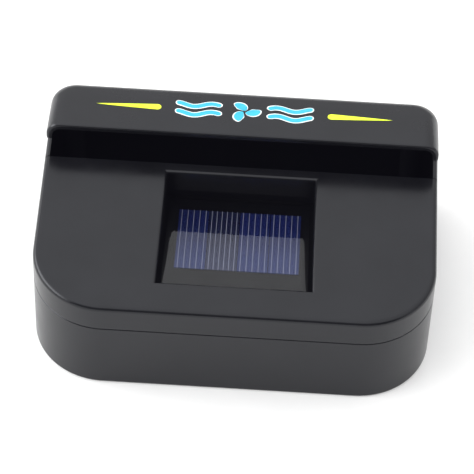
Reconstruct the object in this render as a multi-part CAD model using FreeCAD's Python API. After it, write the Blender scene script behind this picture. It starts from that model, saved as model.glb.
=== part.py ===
"""Solar car-window ventilator: a black two-shell housing with a solar panel let into its face, a fan
behind it and an outlet hood that hooks over the top edge of a door window.

Frame: the part lies on its back. +Z points out of the face that rests on the glass, +Y points to the
hood, and the origin is the centre of the footprint, on the back plane. In use +Y points up. All lengths
are millimetres.
"""

import FreeCAD, Part
import math
import os
from FreeCAD import Vector

# Housing: overall sizes
BODY_HALF_WIDTH = 79.0
BODY_BOTTOM_Y = -54.5
FACE_Z = 47.5
PARTING_Z = 34.5
SEAM_Y = 21.5
CORNER_R = 29.0
WALL = 2.0
BACK_THICKNESS = 2.2
FACE_THICKNESS = 2.2
EDGE_R = 2.1
BACK_EDGE_R = 1.2
PARTING_CHAMFER = 0.3
PARTING_GAP = 0.4
SEAM_GAP = 0.4
TONGUE_HEIGHT = 1.5
TONGUE_THICKNESS = 0.9
FIT_GAP = 0.12
SEAM_INNER_R = 1.0

# Rear housing: end under the hood
REAR_TOP_Y = 53.5
REAR_CORNER_R = 12.0

# Outlet hood and the slot for the window glass
HOOD_HALF_WIDTH = 78.6
HOOD_FRONT_Y = 25.2
HOOD_BACK_Y = 54.5
HOOD_FRONT_Z = 62.0
HOOD_BACK_Z = 56.4
HOOD_CROWN = 0.7
HOOD_TAPER = 0.2
HOOD_CORNER_R = 10.5
HOOD_EDGE_R = 6.0
HOOD_LIP_R = 1.0
HOOD_WALL = 2.4
HOOD_MOUTH_RUN = 1.0
ROOF_EDGE_BAND = 3.0
HOOD_BORE_DEPTH = 7.0
GLASS_SLOT = 6.2
GLASS_STOP_Y = 38.0
STOP_RIB_X = (-40.0, 0.0, 40.0)
STOP_RIB_THICKNESS = 2.0

# Solar panel pocket: a little narrower towards the hood and a little right of the middle. The clear
# window in it slopes away from the face towards the hood, and rounds off along both sides.
POCKET_X = 0.35
POCKET_LOW_HALF_WIDTH = 30.4
POCKET_HIGH_HALF_WIDTH = 29.7
POCKET_LOW_Y = -39.7
POCKET_HIGH_Y = 16.5
POCKET_EDGE_R = 1.1
POCKET_STEP = 0.8
WELL_WALL = 1.8
PANEL_TILT = 10.0
WINDOW_THICKNESS = 3.4
WINDOW_SIDE_R = 4.2
WINDOW_GAP = 0.15
FINGER_COUNTS = (5, 6, 5, 5)
CELL_COUNT = len(FINGER_COUNTS)
CELL_WIDTH = 12.0
CELL_PITCH = 12.3
CELL_LENGTH = 35.4
CELL_START = 13.9
CELLS_X = 0.4
CELL_THICKNESS = 0.3
FINGER_WIDTH = 0.26
FINGER_HEIGHT = 0.05
TAPE_THICKNESS = 0.6
TAPE_OVERLAP = 1.6
BOARD_THICKNESS = 1.2
PAD_SLOPE_Y = 12.0
PAD_RADIUS = 1.4
PAD_HEIGHT = 0.5

# Depth of the board's upper side below the window's upper side
BOARD_DEPTH = WINDOW_THICKNESS + TAPE_THICKNESS

# Fan
FAN_Y = -12.0
IMPELLER_R = 37.0
IMPELLER_LOW_Z = 4.0
IMPELLER_PLATE_Z = 13.6
IMPELLER_TOP_Z = 15.0
BLADE_COUNT = 11
BLADE_THICKNESS = 1.3
BLADE_INNER_R = 15.0
BLADE_SWEEP = 42.0
BLADE_CURVE = 0.14
BLADE_RIM_GAP = 0.4
HUB_R = 6.5
HUB_LOW_Z = 6.0
HUB_EDGE_R = 2.0
COLLAR_R = 3.5
COLLAR_RISE = 1.2
GRILLE_R = 36.0
GRILLE_DISH_R = 39.0
GRILLE_DISH_DEPTH = 0.8
GRILLE_HUB_R = 7.5
GRILLE_SLOT = 3.3
GRILLE_BAR = 2.4
GRILLE_SPOKES = 8
GRILLE_SPOKE_WIDTH = 2.6
INLET_RING_R = 39.0
INLET_RING_TOP_Z = 6.0
INLET_RING_WALL = 1.4

# Motor
MOTOR_FRONT_Z = 19.5
MOTOR_CAN_TOP_Z = 29.5
MOTOR_CAP_TOP_Z = 31.6
MOTOR_R = 12.2
MOTOR_CAN_WALL = 0.6
MOTOR_CAN_EDGE_R = 0.5
CAP_FIT = 0.05
CAP_PLUG_WALL = 1.2
CAP_PLUG_DEPTH = 1.6
CAP_CHAMFER = 0.4
SHAFT_R = 1.0
SHAFT_LOW_Z = 6.8
SHAFT_TOP_Z = 32.0
SHAFT_CLEARANCE = 0.03
SHAFT_CHAMFER = 0.2
BUSH_R = 3.0
BUSH_COLLAR_Z = 18.6
BUSH_CHAMFER = 0.3
FRONT_BUSH_TOP_Z = 21.7
REAR_BUSH_R = 2.6
REAR_BUSH_INSET = 0.3
MAGNET_INNER_R = 9.8
MAGNET_ANGLE = 130.0
MAGNET_OVERHANG = 0.9
CORE_R = 9.3
CORE_LOW_Z = 22.6
CORE_TOP_Z = 26.6
CORE_HUB_R = 3.2
SHOE_THICKNESS = 1.5
SHOE_GAP = 2.0
NECK_WIDTH = 2.6
COIL_INNER_R = 3.9
COIL_OUTER_R = 7.3
COIL_WIDTH = 5.0
COIL_BULGE = 0.75
COIL_EDGE_R = 0.6
POLE_COUNT = 3
COMMUTATOR_R = 2.4
COMMUTATOR_LOW_Z = 27.4
COMMUTATOR_TOP_Z = 29.3
SLIT_WIDTH = 0.24
SLIT_DEPTH = 0.4
BRUSH_GAP = 0.06
BRUSH_THICKNESS = 0.2
BRUSH_WIDTH = 1.2
BRUSH_REACH = 1.2
BRUSH_RISE = 0.5
BRUSH_TAB = 0.3
WASHER_R = 1.9
WASHER_THICKNESS = 0.4
WASHER_GAP = 0.1
MOTOR_SCREW_X = 8.0

# Motor bracket
BRACKET_Z = 17.5
BRACKET_THICKNESS = 2.0
BRACKET_DISC_R = 15.0
BRACKET_CUP_TOP_Z = 25.5
BRACKET_CUP_R = 14.0
BRACKET_ARM_WIDTH = 7.0
BRACKET_RIB_HEIGHT = 3.0
BRACKET_REACH = 43.8
BRACKET_ANGLES = (45.0, 135.0, 225.0, 315.0)
BRACKET_PAD_R = 4.2
BRACKET_POST_R = 3.6
BRACKET_CUP_FIT = 0.1
BRACKET_RIB_WIDTH = 1.6
BRACKET_RIB_SHORT = 6.0
BRACKET_SHAFT_HOLE_R = 4.0
BRACKET_BORE_LOW_Z = 5.0

# Fasteners
CASE_BOSSES = ((64.0, -39.5), (-64.0, -39.5), (70.0, 12.5), (-70.0, 12.5))
HOOD_BOSSES = ((69.0, 43.0), (-69.0, 43.0))
CASE_BOSS_R = 4.6
COVER_BOSS_R = 4.0
COVER_BORE_MARGIN = 4.0
CASE_WELL_R = 3.3
CASE_SEAT_Z = 26.0
HOOD_SEAT_Z = 38.0
CASE_SCREW_R = 1.4
CASE_HEAD_R = 2.8
SCREW_CLEARANCE = 0.2
THREAD_FIT = 0.02
SMALL_SCREW_R = 1.1
SMALL_HEAD_R = 2.1
M2_R = 1.0
M2_HEAD_R = 1.8
CASE_SCREW_LENGTH = 16.0
HOOD_SCREW_LENGTH = 15.5
SMALL_SCREW_LENGTH = 9.0
M2_LENGTH = 3.4

# Screw shape, as shares of the head's radius, the head's height or the shank's radius
HEAD_HEIGHT_SHARE = 0.62
HEAD_ROUND_SHARE = 0.6
RECESS_ARM_SHARE = 0.55
RECESS_HALF_WIDTH_SHARE = 0.13
RECESS_DEPTH_SHARE = 0.55
TIP_SHARE = 0.55

# Leads
LEAD_R = 0.65
LEAD_PAD_X = 8.0
LEAD_SLACK = 9.0
LEAD_SAG = 1.5
TERMINAL_X = 7.0
TERMINAL_HALF = 0.3
TERMINAL_WIDTH = 2.4
TERMINAL_ROOT = 0.4
TERMINAL_STAND = 1.6

PARTS_FOLDER = "parts"
JOIN = 1.0
BIG = 400.0


# ---------------------------------------------------------------- helpers


def box(x0, x1, y0, y1, z0, z1):
    return Part.makeBox(x1 - x0, y1 - y0, z1 - z0, Vector(x0, y0, z0))


def cylinder(x, y, radius, z0, z1):
    return Part.makeCylinder(radius, z1 - z0, Vector(x, y, z0))


def tube(x, y, outer_r, inner_r, z0, z1):
    return cylinder(x, y, outer_r, z0, z1).cut(cylinder(x, y, inner_r, z0, z1))


def fuse(shapes):
    shapes = list(shapes)
    if len(shapes) == 1:
        return shapes[0]
    return shapes[0].multiFuse(shapes[1:]).removeSplitter()


def arc_edge(centre, radius, start_deg, end_deg):
    """Arc in the XY plane through its start, middle and end angles."""
    angles = [math.radians(a) for a in (start_deg, (start_deg + end_deg) / 2, end_deg)]
    points = [centre + Vector(radius * math.cos(a), radius * math.sin(a), 0) for a in angles]
    return Part.Arc(*points).toShape()


def rounded_outline(half_width, low_y, high_y, low_r, high_r=0.0, taper=0.0):
    """Face in the XY plane: a rectangle with rounded corners, its upper end narrower by taper a side."""
    top_half = half_width - taper
    points = [Vector(-half_width, low_y, 0), Vector(half_width, low_y, 0)]
    points += [Vector(top_half, high_y, 0), Vector(-top_half, high_y, 0)]
    wire = Part.makePolygon(points + points[:1])
    solid = Part.Face(wire).extrude(Vector(0, 0, 1))
    for radius, wanted_y in ((low_r, low_y), (high_r, high_y)):
        if radius > 0:
            upright = [e for e in solid.Edges if is_upright_at(e, wanted_y)]
            solid = solid.makeFillet(radius, upright)
    return next(f for f in solid.Faces if abs(f.BoundBox.ZMax) < 1e-6)


def is_upright_at(edge, y):
    bounds = edge.BoundBox
    return bounds.XLength < 1e-6 and bounds.YLength < 1e-6 and abs(bounds.YMin - y) < 1e-6


def prism(face, z0, z1):
    moved = face.copy()
    moved.translate(Vector(0, 0, z0))
    return moved.extrude(Vector(0, 0, z1 - z0))


def edges_where(shape, test):
    """Edges whose bounding box passes a test."""
    return [e for e in shape.Edges if test(e.BoundBox)]


def flat_at(z):
    """Test for edges that lie in the plane at height z."""
    return lambda b: abs(b.ZMin - z) < 1e-4 and abs(b.ZMax - z) < 1e-4


def panel_placement():
    """Carries the panel's own frame (x across, y down the slope, z outwards) into the part's frame."""
    rotation = FreeCAD.Rotation(Vector(1, 0, 0), -PANEL_TILT)
    return FreeCAD.Placement(Vector(POCKET_X, POCKET_LOW_Y, FACE_Z - POCKET_STEP), rotation)


def in_panel_frame(shape):
    placed = shape.copy()
    placed.Placement = panel_placement().multiply(placed.Placement)
    return placed


def panel_slab(depth_top, depth_low):
    """Endless slab parallel to the window, between two depths below its outer surface."""
    return in_panel_frame(box(-BIG, BIG, -BIG, BIG, -depth_low, -depth_top))


def around_fan(radius, angle_deg):
    angle = math.radians(angle_deg)
    return radius * math.cos(angle), FAN_Y + radius * math.sin(angle)


def turned(shape, angle_deg):
    """Copy of a shape turned about the fan axis."""
    copy = shape.copy()
    copy.rotate(Vector(0, FAN_Y, 0), Vector(0, 0, 1), angle_deg)
    return copy


def save(name, shape):
    """Writes one node; a list of solids becomes one compound."""
    if isinstance(shape, (list, tuple)):
        shape = Part.makeCompound(list(shape))
    if not shape.isValid() or not shape.Solids:
        raise RuntimeError(name + " is not a valid solid")
    shape.exportStep(os.path.join(PARTS_FOLDER, name + ".step"))


# ---------------------------------------------------------------- front cover


def pocket_half_width(y):
    share = (y - POCKET_LOW_Y) / (POCKET_HIGH_Y - POCKET_LOW_Y)
    return POCKET_LOW_HALF_WIDTH + share * (POCKET_HIGH_HALF_WIDTH - POCKET_LOW_HALF_WIDTH)


def pocket_prism(grow, low_z, high_z):
    low_y = POCKET_LOW_Y - grow
    high_y = POCKET_HIGH_Y + grow
    low_half = pocket_half_width(low_y) + grow
    high_half = pocket_half_width(high_y) + grow
    corners = [(-low_half, low_y), (low_half, low_y), (high_half, high_y), (-high_half, high_y)]
    points = [Vector(POCKET_X + x, y, 0) for x, y in corners]
    return prism(Part.Face(Part.makePolygon(points + points[:1])), low_z, high_z)


def pocket_well():
    """Four walls that drop from the face and end level with the underside of the window."""
    walls = pocket_prism(WELL_WALL, 0, FACE_Z - EDGE_R).cut(pocket_prism(0, 0, FACE_Z))
    return walls.cut(panel_slab(WINDOW_THICKNESS, BIG))


def front_cover():
    """Upper shell. Its rim stops a little short of the parting plane, and its screw posts reach it."""
    seam_end = SEAM_Y - SEAM_GAP
    outline = rounded_outline(BODY_HALF_WIDTH, BODY_BOTTOM_Y, seam_end, CORNER_R)
    outer = prism(outline, PARTING_Z + PARTING_GAP, FACE_Z)
    rim = edges_where(outer, lambda b: flat_at(FACE_Z)(b) and b.YMin < seam_end - 1e-3)
    outer = outer.makeFillet(EDGE_R, rim)
    inner_outline = rounded_outline(
        BODY_HALF_WIDTH - WALL, BODY_BOTTOM_Y + WALL, seam_end - WALL, CORNER_R - WALL, SEAM_INNER_R
    )
    cavity = prism(inner_outline, PARTING_Z, FACE_Z - FACE_THICKNESS)
    rebate_in = WALL - TONGUE_THICKNESS - FIT_GAP
    rebate_outline = rounded_outline(
        BODY_HALF_WIDTH - rebate_in, BODY_BOTTOM_Y + rebate_in, seam_end + JOIN, CORNER_R - rebate_in
    )
    rebate = prism(rebate_outline, PARTING_Z, PARTING_Z + TONGUE_HEIGHT + FIT_GAP)
    duct_end = box(-BIG, BIG, seam_end - WALL - JOIN, BIG, 0, FACE_Z - FACE_THICKNESS - TONGUE_HEIGHT)
    duct_end = duct_end.common(prism(inner_outline_to_end(seam_end), 0, FACE_Z))
    shell = outer.cut(cavity).cut(rebate).cut(duct_end)
    shell = shell.cut(pocket_prism(0, 0, FACE_Z + JOIN))
    pocket_rim = edges_where(shell, lambda b: flat_at(FACE_Z)(b) and is_pocket_edge(b))
    shell = shell.makeFillet(POCKET_EDGE_R, pocket_rim)
    bosses = [cylinder(x, y, COVER_BOSS_R, PARTING_Z, FACE_Z - EDGE_R) for x, y in CASE_BOSSES]
    cover = fuse([shell, pocket_well()] + bosses)
    bore_end = FACE_Z - COVER_BORE_MARGIN
    for x, y in CASE_BOSSES:
        cover = cover.cut(cylinder(x, y, CASE_SCREW_R + THREAD_FIT, PARTING_Z - JOIN, bore_end))
    return cover


def inner_outline_to_end(seam_end):
    """Inside outline of the cover, run out past its open end."""
    return rounded_outline(BODY_HALF_WIDTH - WALL, BODY_BOTTOM_Y + WALL, seam_end + JOIN, CORNER_R - WALL)


def is_pocket_edge(b):
    slack = FIT_GAP
    inside_x = max(POCKET_X - b.XMin, b.XMax - POCKET_X) < POCKET_LOW_HALF_WIDTH + slack
    return inside_x and b.YMin > POCKET_LOW_Y - slack and b.YMax < POCKET_HIGH_Y + slack


# ---------------------------------------------------------------- rear housing


def grille_cutter():
    """Concentric slots, broken by straight spokes."""
    rings = []
    inner = GRILLE_HUB_R
    while inner + GRILLE_SLOT <= GRILLE_R + 0.01:
        rings.append(tube(0, FAN_Y, inner + GRILLE_SLOT, inner, -JOIN, BACK_THICKNESS + JOIN))
        inner += GRILLE_SLOT + GRILLE_BAR
    half = GRILLE_SPOKE_WIDTH / 2
    spoke = box(0, GRILLE_R + JOIN, FAN_Y - half, FAN_Y + half, -BIG, BIG)
    step = 360.0 / GRILLE_SPOKES
    spokes = [turned(spoke, (i + 0.5) * step) for i in range(GRILLE_SPOKES)]
    return Part.makeCompound(rings).cut(fuse(spokes))


def rear_housing():
    outline = rounded_outline(BODY_HALF_WIDTH, BODY_BOTTOM_Y, REAR_TOP_Y, CORNER_R, REAR_CORNER_R)
    outer = prism(outline, 0, FACE_Z)
    outer = outer.makeFillet(BACK_EDGE_R, edges_where(outer, flat_at(0)))
    cover_room = box(-BIG, BIG, -BIG, SEAM_Y, PARTING_Z, BIG)
    outer = outer.cut(cover_room)
    parting = edges_where(outer, lambda b: flat_at(PARTING_Z)(b) and b.YMin < SEAM_Y - 1e-3)
    outer = outer.makeChamfer(PARTING_CHAMFER, parting)
    inner_outline = rounded_outline(
        BODY_HALF_WIDTH - WALL, BODY_BOTTOM_Y + WALL, REAR_TOP_Y - WALL, CORNER_R - WALL, REAR_CORNER_R - WALL
    )
    cavity = prism(inner_outline, BACK_THICKNESS, BIG)
    shell = outer.cut(cavity)
    bosses = [cylinder(x, y, CASE_BOSS_R, JOIN, PARTING_Z) for x, y in CASE_BOSSES]
    bosses += [cylinder(x, y, CASE_BOSS_R, JOIN, FACE_Z) for x, y in HOOD_BOSSES]
    bosses += [cylinder(x, y, BRACKET_POST_R, JOIN, BRACKET_Z) for x, y in bracket_places()]
    inlet_ring = tube(0, FAN_Y, INLET_RING_R + INLET_RING_WALL, INLET_RING_R, JOIN, INLET_RING_TOP_Z)
    shell = fuse([shell, parting_tongue(), inlet_ring] + bosses)
    shell = shell.cut(cylinder(0, FAN_Y, GRILLE_DISH_R, -JOIN, GRILLE_DISH_DEPTH)).cut(grille_cutter())
    for x, y in CASE_BOSSES + HOOD_BOSSES:
        seat_z = CASE_SEAT_Z if (x, y) in CASE_BOSSES else HOOD_SEAT_Z
        shell = shell.cut(cylinder(x, y, CASE_WELL_R, -JOIN, seat_z))
        shell = shell.cut(cylinder(x, y, CASE_SCREW_R + SCREW_CLEARANCE, 0, BIG))
    for x, y in bracket_places():
        shell = shell.cut(cylinder(x, y, SMALL_SCREW_R + THREAD_FIT, BRACKET_BORE_LOW_Z, BIG))
    for corner in wall_end_corners():
        shell = shell.cut(corner)
    return shell


def wall_end_corners():
    """Slivers cut from the ends of both side walls, so that the face's rounded edge runs on to the hood."""
    x = BODY_HALF_WIDTH - EDGE_R
    z = FACE_Z - EDGE_R
    bar = box(x, BIG, SEAM_Y - JOIN, GLASS_STOP_Y, z, BIG)
    rod = Part.makeCylinder(EDGE_R, BIG, Vector(x, -BIG / 2, z), Vector(0, 1, 0))
    right = bar.cut(rod)
    return [right, right.mirror(Vector(0, 0, 0), Vector(1, 0, 0))]


def bracket_places():
    """Centres of the four posts that carry the motor bracket."""
    return [around_fan(BRACKET_REACH, angle) for angle in BRACKET_ANGLES]


def parting_tongue():
    """Thin inner lip that locates the front cover."""
    outer_in = WALL - TONGUE_THICKNESS
    outer = rounded_outline(
        BODY_HALF_WIDTH - outer_in, BODY_BOTTOM_Y + outer_in, SEAM_Y, CORNER_R - outer_in
    )
    inner = rounded_outline(BODY_HALF_WIDTH - WALL, BODY_BOTTOM_Y + WALL, SEAM_Y + JOIN, CORNER_R - WALL)
    low_z = PARTING_Z - JOIN
    high_z = PARTING_Z + TONGUE_HEIGHT
    tongue = prism(outer, low_z, high_z).cut(prism(inner, low_z, high_z))
    return tongue.cut(box(-BIG, BIG, SEAM_Y - SEAM_GAP, BIG, PARTING_Z, BIG))


# ---------------------------------------------------------------- outlet hood


def hood_profile(inset):
    """Side profile of the hood, extruded across: a crowned roof that falls towards the back."""
    run = HOOD_MOUTH_RUN if inset > 0 else 0.0
    front = HOOD_FRONT_Y - run
    back = HOOD_BACK_Y - inset
    low = Vector(-BIG / 2, front, FACE_Z - run)
    front_top = Vector(-BIG / 2, front, HOOD_FRONT_Z - inset)
    back_top = Vector(-BIG / 2, back, HOOD_BACK_Z - inset)
    back_low = Vector(-BIG / 2, back, low.z)
    middle = (front_top + back_top) * 0.5 + Vector(0, 0, HOOD_CROWN)
    roof = Part.Arc(front_top, middle, back_top).toShape()
    sides = [Part.makeLine(low, front_top), Part.makeLine(back_top, back_low), Part.makeLine(back_low, low)]
    wire = Part.Wire(Part.__sortEdges__([roof] + sides))
    return Part.Face(wire).extrude(Vector(BIG, 0, 0))


def hood_block(inset):
    """Hood solid, or its inside when inset by the wall. The inside runs out past the open front and foot."""
    front = HOOD_FRONT_Y - (HOOD_MOUTH_RUN if inset > 0 else 0.0)
    outline = rounded_outline(
        HOOD_HALF_WIDTH - inset, front, HOOD_BACK_Y - inset, 0.0, HOOD_CORNER_R - inset, HOOD_TAPER
    )
    block = prism(outline, 0, BIG).common(hood_profile(inset))
    roof_low_z = HOOD_BACK_Z - inset - ROOF_EDGE_BAND
    roof_rim = edges_where(block, lambda b: b.ZMin > roof_low_z and b.YLength > 0.01)
    roof_rim += edges_where(block, lambda b: b.ZMin > roof_low_z and b.YMin > HOOD_BACK_Y - inset - 0.01)
    roof_rim = unique_edges(roof_rim)
    return block.makeFillet(HOOD_EDGE_R - inset, roof_rim)


def unique_edges(edges):
    found = []
    for edge in edges:
        if not any(edge.isSame(other) for other in found):
            found.append(edge)
    return found


def hood_cap():
    shell = hood_block(0.0)
    lip = edges_where(shell, lambda b: b.YMax < HOOD_FRONT_Y + 0.01 and b.ZMin > FACE_Z)
    shell = shell.makeFillet(HOOD_LIP_R, lip)
    shell = shell.cut(hood_block(HOOD_WALL))
    slot = box(-BIG, BIG, -BIG, GLASS_STOP_Y, 0, FACE_Z + GLASS_SLOT)
    shell = shell.cut(slot)
    roof_room = hood_block(HOOD_WALL / 2)
    ribs = [stop_rib(x).common(roof_room) for x in STOP_RIB_X]
    posts = [cylinder(x, y, COVER_BOSS_R, FACE_Z, BIG).common(roof_room) for x, y in HOOD_BOSSES]
    hood = fuse([shell] + ribs + posts)
    for x, y in HOOD_BOSSES:
        hood = hood.cut(cylinder(x, y, CASE_SCREW_R + THREAD_FIT, 0, FACE_Z + HOOD_BORE_DEPTH))
    return hood


def stop_rib(x):
    half = STOP_RIB_THICKNESS / 2
    return box(x - half, x + half, GLASS_STOP_Y, HOOD_BACK_Y, FACE_Z, BIG)


# ---------------------------------------------------------------- solar panel


def window_section(slope_y):
    """Cross-section of the window: flat on top, with an arc down to the underside at each side."""
    half = pocket_half_width(POCKET_LOW_Y + slope_y) - WINDOW_GAP
    foot_angle = math.acos(1 - WINDOW_THICKNESS / WINDOW_SIDE_R)

    def on_side(side, angle):
        x = half - WINDOW_SIDE_R + WINDOW_SIDE_R * math.sin(angle)
        return Vector(side * x, slope_y, WINDOW_SIDE_R * (math.cos(angle) - 1))

    left, right = [[on_side(side, foot_angle * share) for share in (0, 0.5, 1)] for side in (-1, 1)]
    arcs = [Part.Arc(*left).toShape(), Part.Arc(*right).toShape()]
    lines = [Part.makeLine(left[0], right[0]), Part.makeLine(left[2], right[2])]
    return Part.Wire(Part.__sortEdges__(arcs + lines))


def panel_window():
    ends = [window_section(y) for y in (-WELL_WALL, POCKET_HIGH_Y - POCKET_LOW_Y + 2 * WELL_WALL)]
    bar = in_panel_frame(Part.makeLoft(ends, True, True))
    return bar.common(pocket_prism(-WINDOW_GAP, 0, FACE_Z))


def cell_left(index):
    return CELLS_X + (index - CELL_COUNT / 2) * CELL_PITCH + (CELL_PITCH - CELL_WIDTH) / 2


def solar_cells():
    low = -BOARD_DEPTH
    end_y = CELL_START + CELL_LENGTH
    cells = []
    for i in range(CELL_COUNT):
        x0 = cell_left(i)
        cells.append(box(x0, x0 + CELL_WIDTH, CELL_START, end_y, low, low + CELL_THICKNESS))
    return [in_panel_frame(c) for c in cells]


def cell_grid_lines():
    """Printed silver fingers, evenly spaced on each cell."""
    low = CELL_THICKNESS - BOARD_DEPTH
    half = FINGER_WIDTH / 2
    end_y = CELL_START + CELL_LENGTH
    high = low + FINGER_HEIGHT
    lines = []
    for i, count in enumerate(FINGER_COUNTS):
        for k in range(count):
            x = cell_left(i) + (k + 0.5) * CELL_WIDTH / count
            lines.append(box(x - half, x + half, CELL_START, end_y, low, high))
    return [in_panel_frame(line) for line in lines]


def panel_tape():
    """Foam tape frame that bonds the window and the pocket walls to the board."""
    frame = pocket_prism(WELL_WALL, 0, FACE_Z).cut(pocket_prism(-TAPE_OVERLAP, -JOIN, FACE_Z + JOIN))
    return frame.common(panel_slab(WINDOW_THICKNESS, BOARD_DEPTH))


def panel_board():
    return pocket_prism(WELL_WALL, 0, FACE_Z).common(panel_slab(BOARD_DEPTH, BOARD_DEPTH + BOARD_THICKNESS))


def panel_solder_pads():
    high = -BOARD_DEPTH - BOARD_THICKNESS
    low = high - PAD_HEIGHT
    return [in_panel_frame(cylinder(s * LEAD_PAD_X, PAD_SLOPE_Y, PAD_RADIUS, low, high)) for s in (-1, 1)]


# ---------------------------------------------------------------- motor


def motor_can():
    inner_r = MOTOR_R - MOTOR_CAN_WALL
    outer = cylinder(0, FAN_Y, MOTOR_R, MOTOR_FRONT_Z, MOTOR_CAN_TOP_Z)
    outer = outer.makeFillet(MOTOR_CAN_EDGE_R, edges_where(outer, flat_at(MOTOR_FRONT_Z)))
    can = outer.cut(cylinder(0, FAN_Y, inner_r, MOTOR_FRONT_Z + MOTOR_CAN_WALL, BIG))
    can = can.cut(cylinder(0, FAN_Y, BUSH_R, 0, BIG))
    for side in (-1, 1):
        can = can.cut(cylinder(side * MOTOR_SCREW_X, FAN_Y, M2_R + THREAD_FIT, 0, CORE_LOW_Z))
    return can


def motor_end_cap():
    plug_r = MOTOR_R - MOTOR_CAN_WALL - CAP_FIT
    plug_low_z = MOTOR_CAN_TOP_Z - CAP_PLUG_DEPTH
    cap = cylinder(0, FAN_Y, MOTOR_R, MOTOR_CAN_TOP_Z, MOTOR_CAP_TOP_Z)
    cap = cap.makeChamfer(CAP_CHAMFER, edges_where(cap, flat_at(MOTOR_CAP_TOP_Z)))
    cap = fuse([cap, tube(0, FAN_Y, plug_r, plug_r - CAP_PLUG_WALL, plug_low_z, MOTOR_CAN_TOP_Z + JOIN)])
    cap = cap.cut(cylinder(0, FAN_Y, REAR_BUSH_R, 0, BIG))
    for side in (-1, 1):
        cap = cap.cut(terminal_bar(side, 0, BIG))
    return cap


def terminal_bar(side, low_z, high_z):
    """Flat bar on one side of the motor, the cross-section of a terminal."""
    x = side * TERMINAL_X
    half = TERMINAL_WIDTH / 2
    return box(x - TERMINAL_HALF, x + TERMINAL_HALF, FAN_Y - half, FAN_Y + half, low_z, high_z)


def motor_terminals():
    low_z = MOTOR_CAN_TOP_Z - TERMINAL_ROOT
    high_z = MOTOR_CAP_TOP_Z + TERMINAL_STAND
    return [terminal_bar(side, low_z, high_z) for side in (-1, 1)]


def motor_front_bush():
    bush = cylinder(0, FAN_Y, BUSH_R, BUSH_COLLAR_Z, FRONT_BUSH_TOP_Z)
    bush = bush.makeChamfer(BUSH_CHAMFER, edges_where(bush, flat_at(BUSH_COLLAR_Z)))
    return bush.cut(cylinder(0, FAN_Y, SHAFT_R + SHAFT_CLEARANCE, 0, BIG))


def motor_rear_bush():
    low_z = MOTOR_CAN_TOP_Z + REAR_BUSH_INSET
    high_z = MOTOR_CAP_TOP_Z - REAR_BUSH_INSET
    return tube(0, FAN_Y, REAR_BUSH_R, SHAFT_R + SHAFT_CLEARANCE, low_z, high_z)


def motor_magnets():
    """Two curved magnets, one on each side of the armature."""
    outer_r = MOTOR_R - MOTOR_CAN_WALL
    ring = tube(0, FAN_Y, outer_r, MAGNET_INNER_R, CORE_LOW_Z - MAGNET_OVERHANG, CORE_TOP_Z + MAGNET_OVERHANG)
    centre = Vector(0, FAN_Y, 0)
    reach = 2 * MOTOR_R
    half_angle = MAGNET_ANGLE / 2
    arc = arc_edge(centre, reach, -half_angle, half_angle)
    sides = [Part.makeLine(centre, Vector(*around_fan(reach, a), 0)) for a in (-half_angle, half_angle)]
    wedge = Part.Face(Part.Wire(Part.__sortEdges__([arc] + sides))).extrude(Vector(0, 0, BIG))
    magnet = ring.common(wedge)
    return [turned(magnet, 90), turned(magnet, 270)]


def brush(side):
    """Leaf spring from the terminal to the side of the commutator, standing just clear of it."""
    low_z = COMMUTATOR_LOW_Z + BRUSH_RISE
    near_y = COMMUTATOR_R + BRUSH_GAP
    far_y = near_y + BRUSH_THICKNESS
    end_x = TERMINAL_X - TERMINAL_HALF
    leaf = box(-BRUSH_REACH, end_x, near_y, far_y, low_z, low_z + BRUSH_WIDTH)
    tab = box(end_x - BRUSH_TAB, end_x, -TERMINAL_WIDTH / 4, far_y, low_z, MOTOR_CAN_TOP_Z)
    spring = fuse([leaf, tab])
    spring.translate(Vector(0, FAN_Y, 0))
    return spring if side > 0 else turned(spring, 180)


def motor_brushes():
    return [brush(1), brush(-1)]


def motor_shaft():
    shaft = cylinder(0, FAN_Y, SHAFT_R, SHAFT_LOW_Z, SHAFT_TOP_Z)
    ends = edges_where(shaft, lambda b: flat_at(SHAFT_LOW_Z)(b) or flat_at(SHAFT_TOP_Z)(b))
    return shaft.makeChamfer(SHAFT_CHAMFER, ends)


def pole_angles():
    return [i * 360.0 / POLE_COUNT for i in range(POLE_COUNT)]


def radial_box(inner_r, outer_r, width, low_z, high_z):
    """Box that points away from the fan axis along +X."""
    return box(inner_r, outer_r, FAN_Y - width / 2, FAN_Y + width / 2, low_z, high_z)


def armature_core():
    """Three-pole stack: a centre, three necks and three curved shoes."""
    height = (CORE_LOW_Z, CORE_TOP_Z)
    centre = cylinder(0, FAN_Y, CORE_HUB_R, *height)
    neck = radial_box(0, CORE_R - SHOE_THICKNESS / 2, NECK_WIDTH, *height)
    gap = radial_box(0, BIG, SHOE_GAP, *height)
    shoes = tube(0, FAN_Y, CORE_R, CORE_R - SHOE_THICKNESS, *height)
    for angle in pole_angles():
        shoes = shoes.cut(turned(gap, angle + 180.0 / POLE_COUNT))
    core = fuse([centre, shoes] + [turned(neck, angle) for angle in pole_angles()])
    return core.cut(cylinder(0, FAN_Y, SHAFT_R, 0, BIG))


def armature_windings():
    """One coil around each pole neck, bulging past both faces of the stack."""
    coil = radial_box(COIL_INNER_R, COIL_OUTER_R, COIL_WIDTH, CORE_LOW_Z - COIL_BULGE, CORE_TOP_Z + COIL_BULGE)
    long_edges = edges_where(coil, lambda b: b.XLength > COIL_EDGE_R)
    coil = coil.makeFillet(COIL_EDGE_R, long_edges)
    coil = coil.cut(radial_box(0, BIG, NECK_WIDTH, CORE_LOW_Z, CORE_TOP_Z))
    return [turned(coil, angle) for angle in pole_angles()]


def commutator():
    body = tube(0, FAN_Y, COMMUTATOR_R, SHAFT_R, CORE_TOP_Z + COIL_BULGE, COMMUTATOR_TOP_Z)
    slit = radial_box(COMMUTATOR_R - SLIT_DEPTH, BIG, SLIT_WIDTH, COMMUTATOR_LOW_Z, BIG)
    for angle in pole_angles():
        body = body.cut(turned(slit, angle))
    return body


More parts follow.
